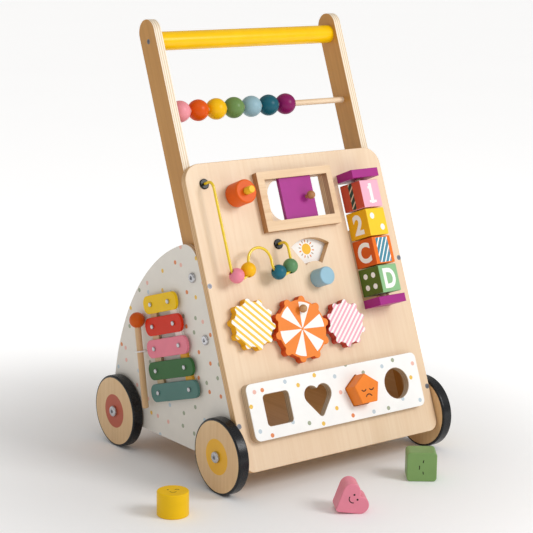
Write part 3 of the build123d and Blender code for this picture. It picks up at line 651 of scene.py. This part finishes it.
whole = blend(tree, front_mask(tree, place), srgb(212, 78, 10), top)
coat_over(tree, principled, place, whole, 0.42, 0.05)
finish_node("gear_orange", material)
finish_node("gear_knob", beech("gear_knob_beech", srgb(196, 150, 100), srgb(164, 112, 66), panel_seat))
finish_node("gear_pins", beech("pin_beech", beech_light, beech_dark, panel_seat))

# ---------------------------------------------------------------- Turning cubes
# Four beech cubes on one dowel between plum brackets, each face sprayed and then printed
# with a figure, a letter, dots or slanting stripes. On cubes 2 to 4 the left face's colour is
# painted shade: a darker copy of the front paint. Cube 1's left face is its own terracotta.
cube_x, cube_h, cube_turn, cube_half = 84.0, 12.0, math.radians(8.6), 15.0
cube_pitch, cube_mid_s = 31.4, 218.4
cube_print = 0.00006
finish_node("block_brackets", painted("bracket_plum", srgb(166, 40, 132), 0.4))
finish_node("block_axle", beech("axle_beech", beech_light, beech_dark, panel_seat))
letter_white = painted("letter_white", print_white, 0.5)
# Columns: front, left, back, right. The left colours of cubes 2 to 4 are painted shade, darker copies of
# their front paint; cube 1's left is a real terracotta.
cube_paints_and_left_shade = (
    (srgb(244, 180, 200), srgb(206, 82, 56), srgb(156, 188, 200), srgb(240, 196, 60)),
    (srgb(248, 204, 44), srgb(240, 176, 8), srgb(238, 160, 172), srgb(150, 184, 140)),
    (srgb(238, 116, 26), srgb(216, 88, 14), srgb(28, 92, 104), srgb(242, 182, 198)),
    (srgb(142, 190, 138), srgb(84, 106, 30), srgb(230, 116, 44), srgb(166, 58, 138)),
)


def cube_seat(index, quarter=0):
    """Cubes count from the top; quarter turns go round the dowel from the front face."""
    s = cube_mid_s + ((len(cube_paints_and_left_shade) - 1) / 2 - index) * cube_pitch
    return on_panel(cube_x, s, cube_h) @ Matrix.Rotation(cube_turn + quarter * math.pi / 2, 4, "Y")


for index, (front, left, back, other) in enumerate(cube_paints_and_left_shade):
    material, tree, principled = blank_material(f"cube_{index + 1}_paint", **print_shader)
    place, facing = seated(tree, cube_seat(index))
    split = put(tree, "SeparateXYZ", sockets={0: facing})
    is_left = math_node(tree, "LESS_THAN", split.outputs[0], -square_on)
    is_other = math_node(tree, "GREATER_THAN", split.outputs[0], square_on)
    is_back = math_node(tree, "LESS_THAN", split.outputs[2], -square_on)
    # The left face takes the left colour: painted shade on cubes 2 to 4, real terracotta paint on cube 1.
    colour = blend(tree, is_left, front, left)
    colour = blend(tree, is_back, colour, back)
    colour = blend(tree, is_other, colour, other)
    coat_over(tree, principled, place, colour, 0.42, 0.05)
    finish_node(f"cube_{index + 1}", material)


def letter(text, size=0.0290, weight=0.0011, narrow=0.92):
    """One printed figure or letter, centred on its face."""
    bpy.ops.object.text_add()
    sign = bpy.context.object
    sign.data.body = text
    sign.data.size = size
    sign.data.offset = weight
    sign.data.extrude = cube_print
    sign.data.resolution_u = 6
    bpy.ops.object.convert(target="MESH")
    xs = [v.co.x for v in sign.data.vertices]
    ys = [v.co.y for v in sign.data.vertices]
    sign.data.transform(Matrix.Diagonal((narrow, 1, 1, 1)) @ Matrix.Translation(
        (-(min(xs) + max(xs)) / 2, -(min(ys) + max(ys)) / 2, 0)))
    return sign


def spots(places, radius=0.0034):
    """Round dots printed on a cube."""
    return [ink_dot(radius, place, cube_print) for place in places]


def label(width, height, place=(0, 0), thick=0.00012):
    """A flat printed rectangle."""
    bpy.ops.mesh.primitive_cube_add(size=1)
    patch = bpy.context.object
    patch.data.transform(Matrix.Translation((*place, 0)) @ Matrix.Diagonal((width, height, thick, 1)))
    return patch


def slanting(name, ground, line, seat, period, share, slope):
    """Slanting printed stripes on a label."""
    material, tree, principled = blank_material(name)
    place, _ = seated(tree, seat)
    split = put(tree, "SeparateXYZ", sockets={0: place})
    slide = math_node(tree, "SUBTRACT", split.outputs[0],
                      math_node(tree, "MULTIPLY", split.outputs[1], slope))
    step = math_node(tree, "FRACT", math_node(tree, "DIVIDE", slide, period))
    colour = blend(tree, math_node(tree, "LESS_THAN", step, share), ground, line)
    coat_over(tree, principled, place, colour, 0.5, 0.04)
    return material


two = ((-0.0066, 0.0066), (0.0066, -0.0066))
four = ((-0.0056, 0.0062), (0.0056, 0.0062), (-0.0056, -0.0062), (0.0056, -0.0062))
three = ((-0.0072, 0.0072), (0, 0), (0.0072, -0.0072))
foot_and_flag = ((0.0112, 0.0026, (0.0006, -0.0090)), (0.0048, 0.0026, (-0.0018, 0.0064)))
prints = (
    (0, 0, lambda: [letter("1"), *(label(*bar, thick=0.00009) for bar in foot_and_flag)]),
    (0, 2, lambda: spots(three)), (0, 1, lambda: [letter("A")]),
    (1, 0, lambda: spots(two)), (1, -1, lambda: [letter("2")]), (1, 2, lambda: [letter("B")]),
    (2, -1, lambda: [letter("C")]), (2, 1, lambda: [letter("3")]), (2, 2, lambda: spots(four)),
    (3, 0, lambda: [letter("D")]), (3, -1, lambda: spots(four, 0.0030)), (3, 1, lambda: [letter("4")]),
)
face_out = Matrix.Translation((0, 0, cube_half / 1000))
sides = {0: "front", -1: "left", 1: "right", 2: "back"}
for index, quarter, draw in prints:
    join_print(f"cube_{index + 1}_print_{sides[quarter]}", draw(), cube_seat(index, quarter) @ face_out,
               letter_white, f"cube_{index + 1}_body")
for index, quarter, width, height, ground, line, period, share, slope in (
        (0, -1, 0.0060, 0.0285, srgb(24, 66, 54), srgb(222, 196, 166), 7.5, 0.28, 0.9),
        (2, 0, 0.0190, 0.0272, srgb(64, 136, 160), print_white, 6.4, 0.30, 0.62),
        (1, 1, 0.0190, 0.0272, srgb(28, 92, 104), print_white, 6.4, 0.30, 0.62),
        (3, 2, 0.0060, 0.0285, srgb(132, 32, 96), print_white, 7.5, 0.28, 0.9)):
    seat = cube_seat(index, quarter) @ face_out
    join_print(f"cube_{index + 1}_stripes_{sides[quarter]}", [label(width, height)], seat,
               slanting(f"stripes_{index + 1}_{sides[quarter]}", ground, line, seat, period, share, slope),
               f"cube_{index + 1}_body")

# ---------------------------------------------------------------- Bead wire
# One length of steel wire in a yellow plastic coat, pushed through two black grommets,
# with four turned beads.
finish_node("bead_wire", coated("wire_yellow", srgb(240, 204, 20), 0.25, 0.06, Coat_Weight=0.6,
                                Coat_Roughness=0.12))
finish_node("grommets", coated("grommet_black", srgb(12, 12, 13), 0.25, 0.2, Specular_IOR_Level=0.3))
for i, colour in enumerate((srgb(238, 138, 158), srgb(248, 184, 14), srgb(34, 106, 124), srgb(98, 144, 98))):
    finish_node(f"wire_bead_{i + 1}", painted(f"wire_bead_{i + 1}_paint", colour))

# ---------------------------------------------------------------- Round nut on its pin
# A turned orange nut that screws on a yellow wooden pin with a coarse round thread.
finish_node("round_nut", painted("nut_orange", srgb(230, 96, 16), 0.4))
pin_at, pin_r, pin_front, pin_back, pin_edge = (-74, 283.8), 0.0037, 0.032, -0.008, 0.0006
ridge_pitch, ridge_r, ridge_sink, ridge_stop = 0.0021, 0.00062, 0.00035, 0.0012
bpy.ops.mesh.primitive_cylinder_add(vertices=48, radius=pin_r, depth=pin_front - pin_back,
                                    location=(0, 0, (pin_front + pin_back) / 2))
shank = bpy.context.object
bpy.ops.object.transform_apply(location=True)
bpy.ops.object.mode_set(mode="EDIT")
bpy.ops.mesh.bevel(offset=pin_edge, segments=3)
bpy.ops.object.mode_set(mode="OBJECT")
turns = [shank]
height = 0.0
while height < pin_front - ridge_stop:
    bpy.ops.mesh.primitive_torus_add(major_radius=pin_r - ridge_sink, minor_radius=ridge_r, major_segments=48,
                                     minor_segments=10, location=(0, 0, height))
    bpy.ops.object.transform_apply(location=True)
    turns.append(bpy.context.object)
    height += ridge_pitch
thread = join_print("threaded_pin_ridged", turns, on_panel(*pin_at, 0),
                    painted("pin_yellow", srgb(244, 196, 50), 0.42), "walker_frame")
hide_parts("threaded_pin")

# ---------------------------------------------------------------- Xylophone
# Five painted steel bars, each on two pins over two slanting strips of wood.
xylo_lean, xylo_pitch = 17.0, 23.6
bar_colours = (srgb(84, 126, 118), srgb(54, 104, 54), srgb(236, 132, 150), srgb(216, 42, 0),
               srgb(244, 198, 0))
half_rise = len(bar_colours) / 2 * xylo_pitch
sprayed_below = -7.0
low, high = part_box("xylophone_bars")
middle_bar_off = Vector((0, 0.0062, 0.0019))
xylo_centre = Vector((low.x, (low.y + high.y) / 2, (low.z + high.z) / 2)) + middle_bar_off
xylo_seat = Matrix.Translation(xylo_centre) @ Matrix.Rotation(-math.radians(xylo_lean), 4, "X")
material, tree, principled = blank_material("bar_enamel", Coat_Weight=0.03, Coat_Roughness=0.2,
                                            Specular_IOR_Level=0.18)
place, _ = seated(tree, xylo_seat)
rise = put(tree, "SeparateXYZ", sockets={0: place}).outputs[2]
pick = put(tree, "MapRange", {"clamp": True}, {"Value": rise, 1: -half_rise, 2: half_rise, 3: 0.001,
                                               4: 0.999}).outputs[0]
coat_over(tree, principled, place, palette(tree, pick, bar_colours), 0.34, 0.06)
finish_node("xylophone_bars", material)
material, tree, principled = blank_material("strip_wood")
place, _ = seated(tree, xylo_seat)
split = put(tree, "SeparateXYZ", sockets={0: place})
figure = put(tree, "Group", {"node_tree": timber}, {"Place": place})
plain = blend(tree, figure.outputs["Figure"], srgb(226, 200, 160), srgb(204, 172, 128))
sprayed = blend(tree, math_node(tree, "LESS_THAN", split.outputs[2], sprayed_below), srgb(246, 243, 236),
                srgb(240, 176, 20))
whole = blend(tree, math_node(tree, "LESS_THAN", split.outputs[1], 0.0), plain, sprayed)
coat_over(tree, principled, place, whole, 0.5, 0.05)
finish_node("xylophone_rails", material)
finish_node("xylophone_pins", steel)

# ---------------------------------------------------------------- Mallet
# A beech stick in a turned orange ball, held against the side by a loop of white elastic.
mallet_lean = math.radians(9.8)
mallet_seat = Matrix.Rotation(-mallet_lean, 4, "X") @ Matrix.Rotation(math.pi / 2, 4, "X")
finish_node("mallet_handle", beech("mallet_beech", srgb(222, 186, 140), srgb(196, 154, 106), mallet_seat))
finish_node("mallet_head", painted("mallet_orange", srgb(214, 92, 8), 0.4))
low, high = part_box("mallet_head")
head_middle = (low + high) / 2
loop_down, loop_aside, loop_r, elastic_r, loop_stretch = 0.034, 0.0022, 0.0046, 0.0009, 1.5
bpy.ops.mesh.primitive_torus_add(major_radius=loop_r, minor_radius=elastic_r, major_segments=40,
                                 minor_segments=10)
loop = bpy.context.object
elastic = coated("white_elastic", srgb(240, 238, 234), 0.8, 0.1, 0.4, Sheen_Weight=0.3)
join_print("mallet_loop", [loop], Matrix.Translation(head_middle) @ Matrix.Rotation(-mallet_lean, 4, "X")
           @ Matrix.Translation((loop_aside, 0, -loop_down)) @ Matrix.Diagonal((loop_stretch, 1, 1, 1)),
           elastic, "walker_frame")
